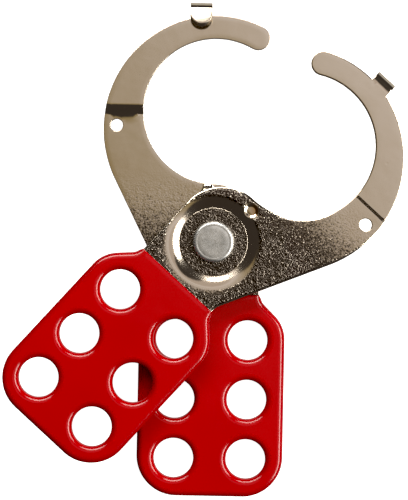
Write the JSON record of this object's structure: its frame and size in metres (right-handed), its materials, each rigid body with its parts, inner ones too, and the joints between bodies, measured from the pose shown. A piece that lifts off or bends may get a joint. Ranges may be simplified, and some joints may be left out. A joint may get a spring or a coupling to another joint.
{
  "type": "lockout hasp",
  "caption": "Scissor-action steel lockout hasp with interlocking jaws on one rivet and vinyl-coated padlock handles.",
  "frame": {"origin": "middle of the rivet's rear head face, on the pivot axis", "axes": "+Z along the pivot from the rear plate to the front plate, +Y from the pivot to the rear plate's jaw opening, +X to the right as seen from the front"},
  "size_m": [0.1036, 0.129, 0.0124],
  "materials": {
    "jaw_steel": "nickel-plated pressed steel, smooth at the jaws and pitted like orange peel near the rivet",
    "handle_vinyl": "glossy dipped vinyl",
    "rivet_zinc": "zinc-plated steel, satin"
  },
  "bodies": {
    "rear_arm": {"rear_jaw_plate": "jaw_steel", "rear_handle_coating": "handle_vinyl", "pivot_rivet": "rivet_zinc"},
    "front_arm": {"front_jaw_plate": "jaw_steel", "front_handle_coating": "handle_vinyl"}
  },
  "joints": [
    {"name": "jaw_pivot", "type": "hinge", "parent": "rear_arm", "child": "front_arm", "pos_m": [0, 0, 0.0044], "axis": [0, 0, 1], "range_deg": [-105, 41.8]}
  ]
}
